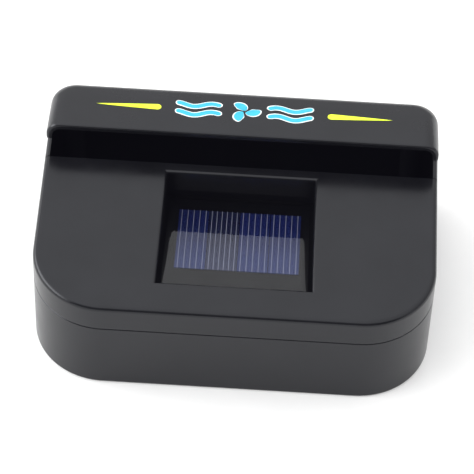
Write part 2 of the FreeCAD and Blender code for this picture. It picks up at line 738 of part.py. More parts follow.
def shaft_washers():
    low_top_z = BUSH_COLLAR_Z - WASHER_GAP
    high_low_z = FRONT_BUSH_TOP_Z + WASHER_GAP
    low = tube(0, FAN_Y, WASHER_R, SHAFT_R, low_top_z - WASHER_THICKNESS, low_top_z)
    high = tube(0, FAN_Y, WASHER_R, SHAFT_R, high_low_z, high_low_z + WASHER_THICKNESS)
    return [low, high]


# ---------------------------------------------------------------- impeller and bracket


def blade():
    """Backward-curved blade: an arc from the inner radius to the rim, thickened to both sides."""
    start = Vector(*around_fan(BLADE_INNER_R, 0), 0)
    end = Vector(*around_fan(IMPELLER_R - BLADE_RIM_GAP, -BLADE_SWEEP), 0)
    chord = end - start
    side = Vector(-chord.y, chord.x, 0).normalize()
    middle = (start + end) * 0.5 + side * (chord.Length * BLADE_CURVE)
    half = side * (BLADE_THICKNESS / 2)
    near = Part.Arc(start + half, middle + half, end + half).toShape()
    far = Part.Arc(start - half, middle - half, end - half).toShape()
    ends = [Part.makeLine(start - half, start + half), Part.makeLine(end + half, end - half)]
    face = Part.Face(Part.Wire(Part.__sortEdges__([near, far] + ends)))
    return prism(face, IMPELLER_LOW_Z, IMPELLER_TOP_Z - JOIN / 2)


def impeller():
    plate = cylinder(0, FAN_Y, IMPELLER_R, IMPELLER_PLATE_Z, IMPELLER_TOP_Z)
    hub = cylinder(0, FAN_Y, HUB_R, HUB_LOW_Z, IMPELLER_TOP_Z)
    hub = hub.makeFillet(HUB_EDGE_R, edges_where(hub, flat_at(HUB_LOW_Z)))
    collar = cylinder(0, FAN_Y, COLLAR_R, IMPELLER_PLATE_Z, IMPELLER_TOP_Z + COLLAR_RISE)
    one_blade = blade()
    blades = [turned(one_blade, i * 360.0 / BLADE_COUNT) for i in range(BLADE_COUNT)]
    wheel = fuse([plate, hub, collar] + blades)
    return wheel.cut(cylinder(0, FAN_Y, SHAFT_R, SHAFT_LOW_Z, BIG))


def motor_bracket():
    """Disc and cup under the motor, with four ribbed arms out to the posts."""
    top_z = BRACKET_Z + BRACKET_THICKNESS
    root_r = BRACKET_CUP_R - JOIN
    cup = tube(0, FAN_Y, BRACKET_CUP_R, MOTOR_R + BRACKET_CUP_FIT, BRACKET_Z, BRACKET_CUP_TOP_Z)
    arm = radial_box(root_r, BRACKET_REACH, BRACKET_ARM_WIDTH, BRACKET_Z, top_z)
    rib_end = BRACKET_REACH - BRACKET_RIB_SHORT
    rib = radial_box(root_r, rib_end, BRACKET_RIB_WIDTH, top_z, top_z + BRACKET_RIB_HEIGHT)
    solids = [cylinder(0, FAN_Y, BRACKET_DISC_R, BRACKET_Z, top_z), cup]
    solids += [turned(piece, angle) for angle in BRACKET_ANGLES for piece in (arm, rib)]
    solids += [cylinder(x, y, BRACKET_PAD_R, BRACKET_Z, top_z) for x, y in bracket_places()]
    bracket = fuse(solids)
    bracket = bracket.cut(cylinder(0, FAN_Y, BRACKET_SHAFT_HOLE_R, 0, BIG))
    for side in (-1, 1):
        bracket = bracket.cut(cylinder(side * MOTOR_SCREW_X, FAN_Y, M2_R + SCREW_CLEARANCE, 0, BIG))
    for x, y in bracket_places():
        bracket = bracket.cut(cylinder(x, y, SMALL_SCREW_R + SCREW_CLEARANCE, 0, BIG))
    return bracket


# ---------------------------------------------------------------- fasteners and leads


def screw(x, y, seat_z, length, shank_r, head_r, up=True):
    """Pan-head screw with a cross recess. Its shank runs up, or down, from the seat, away from its head."""
    head_height = head_r * HEAD_HEIGHT_SHARE
    head = cylinder(0, 0, head_r, -head_height, 0)
    head = head.makeFillet(head_height * HEAD_ROUND_SHARE, edges_where(head, flat_at(-head_height)))
    shank = cylinder(0, 0, shank_r, 0, length)
    shank = shank.makeChamfer(shank_r * TIP_SHARE, edges_where(shank, flat_at(length)))
    arm = head_r * RECESS_ARM_SHARE
    half = head_r * RECESS_HALF_WIDTH_SHARE
    floor_z = head_height * (RECESS_DEPTH_SHARE - 1)
    body = fuse([head, shank])
    body = body.cut(box(-arm, arm, -half, half, -BIG, floor_z))
    body = body.cut(box(-half, half, -arm, arm, -BIG, floor_z))
    if not up:
        body.rotate(Vector(0, 0, 0), Vector(1, 0, 0), 180)
    body.translate(Vector(x, y, seat_z))
    return body


def case_screws():
    return [screw(x, y, CASE_SEAT_Z, CASE_SCREW_LENGTH, CASE_SCREW_R, CASE_HEAD_R) for x, y in CASE_BOSSES]


def hood_screws():
    return [screw(x, y, HOOD_SEAT_Z, HOOD_SCREW_LENGTH, CASE_SCREW_R, CASE_HEAD_R) for x, y in HOOD_BOSSES]


def bracket_screws():
    seat_z = BRACKET_Z + BRACKET_THICKNESS
    size = (seat_z, SMALL_SCREW_LENGTH, SMALL_SCREW_R, SMALL_HEAD_R)
    return [screw(x, y, *size, up=False) for x, y in bracket_places()]


def motor_screws():
    return [screw(s * MOTOR_SCREW_X, FAN_Y, BRACKET_Z, M2_LENGTH, M2_R, M2_HEAD_R) for s in (-1, 1)]


def lead(side):
    """Insulated wire from a solder pad behind the panel to a motor terminal."""
    placement = panel_placement()
    pad_end = Vector(side * LEAD_PAD_X, PAD_SLOPE_Y, -BOARD_DEPTH - BOARD_THICKNESS - PAD_HEIGHT)
    start = placement.multVec(pad_end)
    away = placement.Rotation.multVec(Vector(0, 0, -1))
    end = Vector(side * (TERMINAL_X + TERMINAL_HALF), FAN_Y, MOTOR_CAP_TOP_Z + LEAD_R)
    between = (start + end) * 0.5
    middle = Vector(side * (LEAD_PAD_X + LEAD_SLACK), between.y, between.z - LEAD_SAG)
    curve = Part.BSplineCurve()
    curve.interpolate([start, middle, end], InitialTangent=away, FinalTangent=Vector(-side, 0, 0))
    path = Part.Wire([curve.toShape()])
    profile = Part.Wire([Part.makeCircle(LEAD_R, start, away)])
    return path.makePipeShell([profile], True, False)


NODES = {
    "front_cover": front_cover,
    "rear_housing": rear_housing,
    "hood_cap": hood_cap,
    "panel_window": panel_window,
    "solar_cells": solar_cells,
    "cell_grid_lines": cell_grid_lines,
    "panel_tape": panel_tape,
    "panel_board": panel_board,
    "panel_solder_pads": panel_solder_pads,
    "motor_can": motor_can,
    "motor_end_cap": motor_end_cap,
    "motor_terminals": motor_terminals,
    "motor_front_bush": motor_front_bush,
    "motor_rear_bush": motor_rear_bush,
    "motor_magnets": motor_magnets,
    "motor_brushes": motor_brushes,
    "motor_shaft": motor_shaft,
    "armature_core": armature_core,
    "armature_windings": armature_windings,
    "commutator": commutator,
    "shaft_washers": shaft_washers,
    "impeller": impeller,
    "motor_bracket": motor_bracket,
    "case_screws": case_screws,
    "hood_screws": hood_screws,
    "bracket_screws": bracket_screws,
    "motor_screws": motor_screws,
}


def main():
    os.makedirs(PARTS_FOLDER, exist_ok=True)
    for name, make in NODES.items():
        save(name, make())
    save("lead_positive", lead(1))
    save("lead_negative", lead(-1))


main()
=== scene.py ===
import math

import bmesh
import bpy
from mathutils import Matrix, Vector
from mathutils.bvhtree import BVHTree


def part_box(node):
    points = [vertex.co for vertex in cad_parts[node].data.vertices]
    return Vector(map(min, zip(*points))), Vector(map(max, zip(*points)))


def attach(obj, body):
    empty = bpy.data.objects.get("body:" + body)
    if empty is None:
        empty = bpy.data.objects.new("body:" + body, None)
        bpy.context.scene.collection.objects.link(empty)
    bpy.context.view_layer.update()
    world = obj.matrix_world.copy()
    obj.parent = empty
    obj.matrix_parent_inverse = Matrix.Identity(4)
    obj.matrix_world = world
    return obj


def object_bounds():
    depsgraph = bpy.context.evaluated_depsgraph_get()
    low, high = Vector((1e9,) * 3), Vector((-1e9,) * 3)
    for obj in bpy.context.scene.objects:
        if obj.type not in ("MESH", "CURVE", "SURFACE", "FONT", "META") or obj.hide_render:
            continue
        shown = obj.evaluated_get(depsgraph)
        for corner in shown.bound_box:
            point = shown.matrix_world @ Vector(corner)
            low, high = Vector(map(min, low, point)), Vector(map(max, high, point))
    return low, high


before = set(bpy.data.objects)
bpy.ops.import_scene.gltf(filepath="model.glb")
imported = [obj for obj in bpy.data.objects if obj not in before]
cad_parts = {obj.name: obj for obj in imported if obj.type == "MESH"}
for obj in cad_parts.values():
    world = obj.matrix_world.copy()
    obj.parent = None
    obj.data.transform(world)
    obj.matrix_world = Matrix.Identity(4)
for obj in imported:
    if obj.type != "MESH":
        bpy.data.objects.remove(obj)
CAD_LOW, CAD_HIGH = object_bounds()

MM = 0.001
HOUSING = "housing"

# Camera: the view is aimed at the middle of the seam between the face and the hood, at floor height
CAMERA_AZIMUTH = math.radians(1.08)
CAMERA_ELEVATION = math.radians(50.83)
CAMERA_ROLL = math.radians(2.56)
CAMERA_DISTANCE = 1.123
CAMERA_LENS = 205.6
SENSOR_WIDTH = 36.0
CAMERA_SHIFT = (-0.0018, 0.0091)
CAMERA_REACH = 20.0
SEAM_GAP = 0.4 * MM

# Printed mark on the hood. Its middle is at MARK_PLACE of the hood's depth, and the roof is looked for
# from SEARCH_HEIGHT above its top.
MARK_PLACE = 0.50
SEARCH_HEIGHT = 10 * MM
MARK_RISE = 0.05 * MM
INK_THICKNESS = 0.04 * MM
OUTLINE_WIDTH = 0.45 * MM
STROKE_STEPS = 56
STROKE_LOOK = 1e-4
STROKE_END = 0.01 * MM
ROTOR_RADIUS = 6.2 * MM
ROTOR_HUB_RADIUS = 1.5 * MM
ROTOR_BLADES = 3
BLADE_FOOT = 0.4
BLADE_SWEEP = 0.75
BLADE_HALF_WIDTH = 1.95 * MM
BLADE_WAVE = (0.16, 0.62)
BREEZE_LINES = 2
BREEZE_PITCH = 5.4 * MM
BREEZE_START = 9.5 * MM
BREEZE_LENGTH = 18.0 * MM
BREEZE_WIDTH = 2.3 * MM
BREEZE_WAVE = 1.1 * MM
BREEZE_TURNS = 1.25
STRIPE_START = 33.5 * MM
STRIPE_LENGTH = 26.0 * MM
STRIPE_WIDTH = 3.6 * MM
STRIPE_TAPER = 0.8
STRIPE_TIP = 0.02 * MM

# Floor
FLOOR_HALF = 6.0
FLOOR_DROP = 0.05 * MM
FLOOR_GLOW = 0.06
FLOOR_GLOW_SEEN = 0.17

# Light: strengths of the tent and of the lamp on the left, and how far black is lifted. Where each of
# them fades is a pair of limits along one axis of the world's direction.
SKY_RISE = (0.2, 0.9)
SKY_SIDES = (-0.3, 0.3)
FRONT_DEPTH = (-0.75, -0.35)
FRONT_TOP = (0.55, 0.8)
LAMP_BOTTOM = (0.08, 0.25)
LAMP_TOP = (0.62, 0.78)
LAMP_SIDE = (-0.88, -0.62)
SKY_LOW = 0.86
SKY_HIGH = 1.75
SKY_LEFT = 1.10
SKY_RIGHT = 0.90
FRONT_SHARE = 0.15
LAMP = 6.0
BLACK_LIFT = (0.0028, 0.0027, 0.0042)

# Materials: grain finer than a pixel, the window's refractive index, and how an edge is told from a
# flat: by how closely the rounded normal follows the true one
FINE_GRAIN = 7000.0
ACRYLIC_IOR = 1.49
BEVEL_SAMPLES = 4
EDGE_FLAT = 0.985
EDGE_SHARP = 0.86

# Colours, as linear values
CASE_DARK = (0.0038, 0.0039, 0.0048)
CASE_LIGHT = (0.0062, 0.0064, 0.0078)
CASE_WORN = (0.020, 0.020, 0.023)
CASE_SHEEN = (0.93, 0.95, 1.0)
LIME = (0.80, 1.0, 0.015)
CYAN = (0.020, 0.40, 0.56)
INK_WHITE = (0.86, 0.90, 0.92)
CELL_STRIPS = 4
GREY_STRIP = 1
CELL_BLUE = (0.0034, 0.0058, 0.044)
CELL_GREY = (0.0040, 0.0050, 0.0165)
CELL_MIRROR = (0.17, 0.28, 0.80)
CELL_GREY_MIRROR = (0.24, 0.29, 0.60)


# ---------------------------------------------------------------- shader helpers


class Shader:
    """One node material. Each helper adds a node, links its inputs and returns its output."""

    def __init__(self, name):
        self.material = bpy.data.materials.new(name)
        self.material.use_nodes = True
        self.tree = self.material.node_tree
        self.surface = self.tree.nodes["Principled BSDF"]
        self.place = self.tree.nodes.new("ShaderNodeTexCoord").outputs["Object"]

    def put(self, socket, value):
        if isinstance(value, bpy.types.NodeSocket):
            self.tree.links.new(value, socket)
        elif socket.type == "RGBA" and len(value) == 3:
            socket.default_value = (*value, 1.0)
        else:
            socket.default_value = value

    def node(self, kind, inputs, output=0, **settings):
        made = self.tree.nodes.new(kind)
        for key, value in settings.items():
            setattr(made, key, value)
        for key, value in inputs.items():
            self.put(made.inputs[key], value)
        return made.outputs[output]

    def noise(self, scale, detail=3.0, roughness=0.5, place=None):
        where = self.place if place is None else place
        return self.node("ShaderNodeTexNoise", {
            "Vector": where, "Scale": scale, "Detail": detail, "Roughness": roughness,
        })

    def stretched(self, scale):
        """Texture place scaled by a different amount along each axis."""
        return self.node("ShaderNodeMapping", {"Vector": self.place, "Scale": scale})

    def axis(self, name):
        return self.node("ShaderNodeSeparateXYZ", {"Vector": self.place}, output=name)

    def math(self, operation, first, second=0.0):
        return self.node("ShaderNodeMath", {0: first, 1: second}, operation=operation)

    def band(self, value, low, high, to_low=0.0, to_high=1.0):
        """Value mapped from one range to another, held at the ends."""
        return self.node("ShaderNodeMapRange", {
            "Value": value, "From Min": low, "From Max": high, "To Min": to_low, "To Max": to_high,
        })

    def blend(self, factor, first, second):
        made = self.tree.nodes.new("ShaderNodeMix")
        made.data_type = "RGBA"
        self.put(made.inputs[0], factor)
        self.put(made.inputs[6], first)
        self.put(made.inputs[7], second)
        return made.outputs[2]

    def edges(self, radius):
        """1 where the surface bends sharply within the radius, 0 on flats."""
        soft = self.rounded(radius)
        true = self.node("ShaderNodeNewGeometry", {}, output="Normal")
        likeness = self.node(
            "ShaderNodeVectorMath", {0: soft, 1: true}, output="Value", operation="DOT_PRODUCT")
        return self.band(likeness, EDGE_FLAT, EDGE_SHARP)

    def bump(self, height, distance, strength=1.0, normal=None):
        inputs = {"Height": height, "Distance": distance, "Strength": strength}
        if normal is not None:
            inputs["Normal"] = normal
        return self.node("ShaderNodeBump", inputs)

    def rounded(self, radius):
        """Normal of the surface with its edges rounded by the radius."""
        return self.node("ShaderNodeBevel", {"Radius": radius}, samples=BEVEL_SAMPLES)

    def finish(self, **inputs):
        names = {"color": "Base Color", "roughness": "Roughness", "metallic": "Metallic",
                 "normal": "Normal", "coat": "Coat Weight", "coat_roughness": "Coat Roughness",
                 "specular": "Specular IOR Level", "tint": "Specular Tint"}
        for key, value in inputs.items():
            self.put(self.surface.inputs[names[key]], value)
        return self.material


# ---------------------------------------------------------------- materials


def moulded_plastic(name, dark, light, worn, roughness, grain=2600.0, wear=0.5,
                    sheen=(1.0, 1.0, 1.0), specular=0.5):
    """Moulded plastic: fine spark texture, cloudy tone, and edges that handling has polished paler."""
    s = Shader(name)
    clouds = s.noise(38.0, 4.0, 0.6)
    fine = s.noise(grain, 2.0, 0.55)
    pits = s.node("ShaderNodeTexVoronoi", {"Vector": s.place, "Scale": grain * 0.55}, output="Distance")
    tone = s.blend(s.band(clouds, 0.35, 0.65), dark, light)
    tone = s.blend(s.band(fine, 0.25, 0.75, 0.0, 0.35), tone, light)
    scuffs = s.band(s.noise(420.0, 5.0, 0.7), 0.48, 0.72)
    rubbed = s.math("MULTIPLY", s.math("MULTIPLY", s.edges(0.5 * MM), scuffs), wear)
    tone = s.blend(rubbed, tone, worn)
    gloss = s.band(s.noise(90.0, 3.0, 0.5), 0.3, 0.7, roughness - 0.035, roughness + 0.035)
    gloss = s.math("SUBTRACT", gloss, s.math("MULTIPLY", rubbed, 0.10))
    height = s.math("ADD", fine, s.math("MULTIPLY", pits, 0.6))
    normal = s.bump(height, 0.005 * MM, 0.8, s.rounded(0.18 * MM))
    return s.finish(color=tone, roughness=gloss, normal=normal, specular=specular, tint=sheen)


def rolled_metal(name, colour, dark, roughness, stretch, wear=0.6):
    """Drawn or ground metal: long fine lines along one direction, with dull stains."""
    s = Shader(name)
    lines = s.noise(1.0, 3.0, 0.6, s.stretched(stretch))
    stains = s.noise(220.0, 4.0, 0.6)
    tone = s.blend(s.band(stains, 0.35, 0.7, 0.0, wear), colour, dark)
    tone = s.blend(s.band(lines, 0.3, 0.7, 0.0, 0.25), tone, dark)
    gloss = s.band(lines, 0.25, 0.75, roughness - 0.06, roughness + 0.08)
    normal = s.bump(lines, 0.008 * MM, 0.6, s.rounded(0.08 * MM))
    return s.finish(color=tone, metallic=1.0, roughness=gloss, normal=normal)


def sintered_metal(name, colour, dark):
    """Pressed powder metal, dull, with open pores."""
    s = Shader(name)
    grains = s.node("ShaderNodeTexVoronoi", {"Vector": s.place, "Scale": 5200.0}, output="Distance")
    patch = s.noise(700.0, 4.0, 0.6)
    tone = s.blend(s.band(grains, 0.1, 0.6), dark, colour)
    tone = s.blend(s.band(patch, 0.4, 0.7, 0.0, 0.5), tone, dark)
    return s.finish(color=tone, metallic=0.85, roughness=s.band(patch, 0.3, 0.7, 0.42, 0.6),
                    normal=s.bump(grains, 0.02 * MM, 0.7))


def stacked_sheets(name, colour, dark, sheet):
    """Punched steel sheets lying on each other along Z."""
    s = Shader(name)
    turns = s.math("MULTIPLY", s.axis("Z"), 1.0 / sheet)
    step = s.math("PINGPONG", turns, 0.5)
    gap = s.band(step, 0.0, 0.09)
    rust = s.noise(500.0, 5.0, 0.65)
    tone = s.blend(s.band(rust, 0.5, 0.8, 0.0, 0.5), colour, dark)
    tone = s.blend(gap, dark, tone)
    return s.finish(color=tone, metallic=0.9, roughness=s.band(rust, 0.3, 0.7, 0.38, 0.55),
                    normal=s.bump(gap, 0.05 * MM, 0.8))


def ferrite(name):
    """Ground ferrite: charcoal grey, matt, with fine grain and small chips."""
    s = Shader(name)
    grain = s.noise(4200.0, 3.0, 0.6)
    chips = s.band(s.noise(900.0, 2.0, 0.4), 0.62, 0.70)
    tone = s.blend(s.band(grain, 0.3, 0.7), (0.030, 0.030, 0.033), (0.060, 0.060, 0.066))
    tone = s.blend(s.math("MULTIPLY", chips, s.edges(0.3 * MM)), tone, (0.13, 0.13, 0.14))
    return s.finish(color=tone, roughness=0.7, normal=s.bump(grain, 0.015 * MM, 0.7))


def wound_copper(name):
    """Enamelled wire, laid side by side round the pole."""
    s = Shader(name)
    wires = s.math("PINGPONG", s.math("MULTIPLY", s.axis("Z"), 1.0 / (0.16 * MM)), 0.5)
    across = s.math("PINGPONG", s.math("MULTIPLY", s.axis("X"), 1.0 / (0.16 * MM)), 0.5)
    ridge = s.math("MAXIMUM", wires, s.math("MULTIPLY", across, 0.7))
    # Each wire is painted darker from its crown down into the grooves beside it: painted shade between
    # the wires.
    tone = s.blend(s.band(ridge, 0.05, 0.4), (0.16, 0.035, 0.010), (0.72, 0.25, 0.085))
    tone = s.blend(s.band(s.noise(900.0, 3.0), 0.4, 0.7, 0.0, 0.3), tone, (0.50, 0.14, 0.04))
    return s.finish(color=tone, metallic=0.8, roughness=0.28, coat=0.6, coat_roughness=0.12,
                    normal=s.bump(ridge, 0.05 * MM, 0.9))


def solder(name):
    """Lumps of solder, bright in some places and dull in others."""
    s = Shader(name)
    lumps = s.noise(850.0, 3.0, 0.5)
    tone = s.blend(s.band(lumps, 0.35, 0.65), (0.36, 0.36, 0.38), (0.74, 0.74, 0.76))
    return s.finish(color=tone, metallic=1.0, roughness=s.band(lumps, 0.3, 0.7, 0.14, 0.4),
                    normal=s.bump(lumps, 0.12 * MM, 0.8))


def foam(name):
    """Black closed-cell foam, cut clean at the sides."""
    s = Shader(name)
    grain = s.noise(FINE_GRAIN, 2.0, 0.5)
    tone = s.blend(s.band(grain, 0.3, 0.7), (0.0008, 0.0008, 0.0010), (0.0016, 0.0016, 0.0020))
    return s.finish(color=tone, roughness=0.95, specular=0.05, normal=s.bump(grain, 0.002 * MM, 0.3))


def laminate(name):
    """Black circuit-board laminate: a fine even grain under a satin mask."""
    s = Shader(name)
    grain = s.noise(FINE_GRAIN, 2.0, 0.5)
    tone = s.blend(s.band(grain, 0.3, 0.7), (0.0010, 0.0010, 0.0014), (0.0014, 0.0014, 0.0018))
    gloss = s.band(s.noise(90.0, 1.0, 0.4), 0.3, 0.7, 0.40, 0.44)
    return s.finish(color=tone, roughness=gloss, specular=0.08, normal=s.bump(grain, 0.0002 * MM, 0.1))


def silicon(name):
    """Blue coated silicon with a fine grain. The second strip from the left is greyer."""
    low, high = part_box("solar_cells")
    s = Shader(name)
    place = s.math("MULTIPLY", s.math("SUBTRACT", s.axis("X"), low.x), CELL_STRIPS / (high.x - low.x))
    second = s.math("COMPARE", s.math("FLOOR", place), GREY_STRIP)
    second.node.inputs[2].default_value = 0.25
    facet = s.noise(FINE_GRAIN, 2.0, 0.5)
    clouds = s.noise(90.0, 0.0, 0.4)
    tone = s.blend(second, CELL_BLUE, CELL_GREY)
    tone = s.blend(s.band(facet, 0.3, 0.7, 0.0, 0.10), tone, (0.008, 0.015, 0.085))
    tone = s.blend(s.band(clouds, 0.3, 0.7, 0.0, 0.15), tone, (0.0022, 0.0032, 0.022))
    mirror = s.blend(second, CELL_MIRROR, CELL_GREY_MIRROR)
    return s.finish(color=tone, roughness=s.band(facet, 0.3, 0.7, 0.26, 0.29), specular=1.0,
                    tint=mirror, normal=s.bump(facet, 0.0002 * MM, 0.1))


def printed_silver(name):
    """Printed silver paste, speckled and rather dull."""
    s = Shader(name)
    speckle = s.noise(3600.0, 2.0, 0.6)
    tone = s.blend(s.band(speckle, 0.35, 0.65), (0.10, 0.11, 0.15), (0.19, 0.20, 0.27))
    return s.finish(color=tone, metallic=0.25, roughness=0.55, normal=s.bump(speckle, 0.01 * MM, 0.5))


def clear_acrylic(name):
    """Clear window. Its outer side mirrors by Fresnel's law, dulled a little by smears."""
    s = Shader(name)
    smear = s.noise(70.0, 1.0, 0.4)
    inside = s.node("ShaderNodeNewGeometry", {}, output="Backfacing")
    fresnel = s.node("ShaderNodeFresnel", {"IOR": ACRYLIC_IOR})
    mirror = s.math("MULTIPLY", fresnel, s.band(smear, 0.3, 0.7, 0.77, 0.84))
    share = s.math("MULTIPLY", mirror, s.math("SUBTRACT", 1.0, inside))
    gloss = s.band(smear, 0.3, 0.7, 0.012, 0.024)
    glossy = s.node("ShaderNodeBsdfGlossy", {"Color": (0.97, 0.98, 1.0), "Roughness": gloss})
    clear = s.node("ShaderNodeBsdfTransparent", {"Color": (0.975, 0.98, 0.985)})
    skin = s.node("ShaderNodeMixShader", {0: share, 1: clear, 2: glossy})
    output = next(n for n in s.tree.nodes if n.type == "OUTPUT_MATERIAL")
    s.tree.links.new(skin, output.inputs["Surface"])
    s.tree.nodes.remove(s.surface)
    return s.material


def insulation(name, colour, dark):
    """Soft PVC wire insulation, slightly wavy, with a greasy shine."""
    s = Shader(name)
    wave = s.noise(650.0, 3.0, 0.5)
    tone = s.blend(s.band(wave, 0.35, 0.7), dark, colour)
    return s.finish(color=tone, roughness=s.band(wave, 0.3, 0.7, 0.28, 0.42),
                    normal=s.bump(wave, 0.03 * MM, 0.5))


def ink(name, colour, pale):
    """Pad-printed ink: satin, slightly uneven, with a few pinholes."""
    s = Shader(name)
    patch = s.noise(420.0, 3.0, 0.5)
    speck = s.noise(4800.0, 2.0, 0.6)
    tone = s.blend(s.band(patch, 0.35, 0.7, 0.0, 0.30), colour, pale)
    pinholes = s.band(speck, 0.76, 0.84, 0.0, 0.5)
    tone = s.blend(pinholes, tone, CASE_LIGHT)
    return s.finish(color=tone, roughness=0.42, normal=s.bump(speck, 0.008 * MM, 0.5))


def floor_paper(name):
    """White paper with a little glow of its own, stronger where the camera sees it directly."""
    s = Shader(name)
    pulp = s.noise(60.0, 4.0, 0.6)
    tone = s.blend(s.band(pulp, 0.3, 0.7), (0.81, 0.81, 0.81), (0.83, 0.83, 0.83))
    seen = s.node("ShaderNodeLightPath", {}, output="Is Camera Ray")
    s.put(s.surface.inputs["Emission Color"], tone)
    s.put(s.surface.inputs["Emission Strength"], s.band(seen, 0.0, 1.0, FLOOR_GLOW, FLOOR_GLOW_SEEN))
    return s.finish(color=tone, roughness=0.9, specular=0.1, normal=s.bump(pulp, 0.05 * MM, 0.3))


def case_plastic(name, roughness=0.23, specular=0.345):
    """Black plastic of the shells, the hood and the motor bracket."""
    return moulded_plastic(name, CASE_DARK, CASE_LIGHT, CASE_WORN, roughness,
                           sheen=CASE_SHEEN, specular=specular)


def node_materials():
    """One material for each CAD node."""
    along_z = (3000.0, 3000.0, 60.0)
    round_z = (60.0, 60.0, 5200.0)
    along_x = (60.0, 3000.0, 3000.0)
    steel, steel_dark = (0.56, 0.56, 0.58), (0.26, 0.26, 0.28)
    shaft_steel = (0.62, 0.62, 0.64)
    copper, copper_dark = (0.80, 0.36, 0.18), (0.30, 0.11, 0.05)
    core_steel, core_dark = (0.36, 0.36, 0.38), (0.10, 0.08, 0.07)
    bronze, bronze_dark = (0.62, 0.36, 0.15), (0.20, 0.10, 0.04)
    brass, brass_dark = (0.78, 0.56, 0.24), (0.34, 0.21, 0.08)
    ivory, ivory_light, ivory_worn = (0.52, 0.48, 0.39), (0.62, 0.58, 0.49), (0.74, 0.71, 0.64)
    nylon, nylon_light = (0.66, 0.66, 0.62), (0.78, 0.78, 0.75)
    screw_metal = rolled_metal("screw_zinc", (0.42, 0.43, 0.46), (0.16, 0.16, 0.18), 0.34, round_z)
    bush_metal = sintered_metal("bush_bronze", bronze, bronze_dark)
    return {
        "front_cover": case_plastic("front_cover_plastic"),
        "rear_housing": case_plastic("rear_housing_plastic"),
        "hood_cap": case_plastic("hood_plastic", 0.25, 0.40),
        "panel_window": clear_acrylic("window_acrylic"),
        "solar_cells": silicon("cell_silicon"),
        "cell_grid_lines": printed_silver("cell_silver"),
        "panel_tape": foam("tape_foam"),
        "panel_board": laminate("board_laminate"),
        "panel_solder_pads": solder("pad_solder"),
        "motor_can": rolled_metal("can_steel", steel, steel_dark, 0.30, along_z),
        "motor_end_cap": moulded_plastic("cap_plastic", ivory, ivory_light, ivory_worn, 0.46, wear=0.3),
        "motor_terminals": rolled_metal("terminal_brass", brass, brass_dark, 0.30, along_z),
        "motor_front_bush": bush_metal,
        "motor_rear_bush": bush_metal,
        "motor_magnets": ferrite("magnet_ferrite"),
        "motor_brushes": rolled_metal("brush_bronze", bronze, bronze_dark, 0.26, along_x),
        "motor_shaft": rolled_metal("shaft_steel", shaft_steel, steel_dark, 0.18, round_z, wear=0.2),
        "armature_core": stacked_sheets("core_steel", core_steel, core_dark, 0.5 * MM),
        "armature_windings": wound_copper("winding_copper"),
        "commutator": rolled_metal("commutator_copper", copper, copper_dark, 0.22, round_z),
        "shaft_washers": moulded_plastic("washer_nylon", nylon, nylon_light, nylon_light, 0.42,
                                         wear=0.0),
        "impeller": moulded_plastic("impeller_plastic", (0.020, 0.021, 0.023), (0.030, 0.031, 0.034),
                                    (0.07, 0.07, 0.075), 0.30, grain=1500.0),
        "motor_bracket": case_plastic("bracket_plastic", 0.42),
        "case_screws": screw_metal,
        "hood_screws": screw_metal,
        "bracket_screws": screw_metal,
        "motor_screws": screw_metal,
        "lead_positive": insulation("lead_red", (0.55, 0.018, 0.014), (0.32, 0.008, 0.008)),
        "lead_negative": insulation("lead_black", (0.020, 0.020, 0.022), (0.009, 0.009, 0.010)),
    }


def dress_frame():
    """Gives every CAD node its material."""
    for node, material in node_materials().items():
        for material_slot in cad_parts[node].material_slots:
            material_slot.material = material


# ---------------------------------------------------------------- printed mark


class HoodSurface:
    """The outer side of the hood's roof, found by looking straight down on the CAD hood."""

    def __init__(self):
        mesh = bmesh.new()
        mesh.from_mesh(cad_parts["hood_cap"].data)
        self.tree = BVHTree.FromBMesh(mesh)
        mesh.free()
        low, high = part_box("hood_cap")
        self.above = high.z + SEARCH_HEIGHT
        self.centre_y = low.y + (high.y - low.y) * MARK_PLACE

    def point(self, u, w, rise):
        """Place on the roof, u to the right of the mark's middle and w away from the face."""
        start = Vector((u, self.centre_y + w, self.above))
        hit, normal, _, _ = self.tree.ray_cast(start, Vector((0, 0, -1)))
        return hit + normal * rise


def stroke(centre_line, half_width, length):
    """Left and right sides of a ribbon with round ends, as pairs of flat points."""
    pairs = []
    for i in range(STROKE_STEPS + 1):
        t = 0.5 - 0.5 * math.cos(math.pi * i / STROKE_STEPS)
        ahead = centre_line(min(1.0, t + STROKE_LOOK))
        behind = centre_line(max(0.0, t - STROKE_LOOK))
        along = (ahead - behind).normalized()
        side = Vector((-along.y, along.x))
        full = half_width(t)
        from_end = min(t, 1.0 - t) * length
        cap = math.sqrt(max(0.0, 1.0 - (1.0 - min(1.0, from_end / full)) ** 2))
        half = max(full * cap, STROKE_END)
        middle = centre_line(t)
        pairs.append((middle + side * half, middle - side * half))
    return pairs


def rotor_strokes(grow):
    """Curved blades round the middle, each wider halfway along."""
    strokes = []
    reach = ROTOR_RADIUS - ROTOR_HUB_RADIUS
    foot = ROTOR_HUB_RADIUS * BLADE_FOOT
    first, share = BLADE_WAVE
    for i in range(ROTOR_BLADES):
        turn = 2 * math.pi * i / ROTOR_BLADES + math.pi / 2

        def line(t, turn=turn):
            radius = foot + t * (ROTOR_RADIUS + grow - foot)
            angle = turn + BLADE_SWEEP * t
            return Vector((radius * math.cos(angle), radius * math.sin(angle)))

        def half(t):
            return BLADE_HALF_WIDTH * math.sin(math.pi * (first + share * t)) + grow

        strokes.append(stroke(line, half, reach))
    return strokes


def breeze_strokes(side, grow):
    """Wavy air lines beside the rotor. They grow at their ends and their sides alike."""
    strokes = []
    start = BREEZE_START - grow
    length = BREEZE_LENGTH + 2 * grow
    for row in range(BREEZE_LINES):
        offset = (row - (BREEZE_LINES - 1) / 2) * BREEZE_PITCH

        def line(t, offset=offset):
            wave = BREEZE_WAVE * math.sin(2 * math.pi * t * BREEZE_TURNS)
            return Vector((side * (start + t * length), offset + wave))

        strokes.append(stroke(line, lambda t: BREEZE_WIDTH / 2 + grow, length))
    return strokes


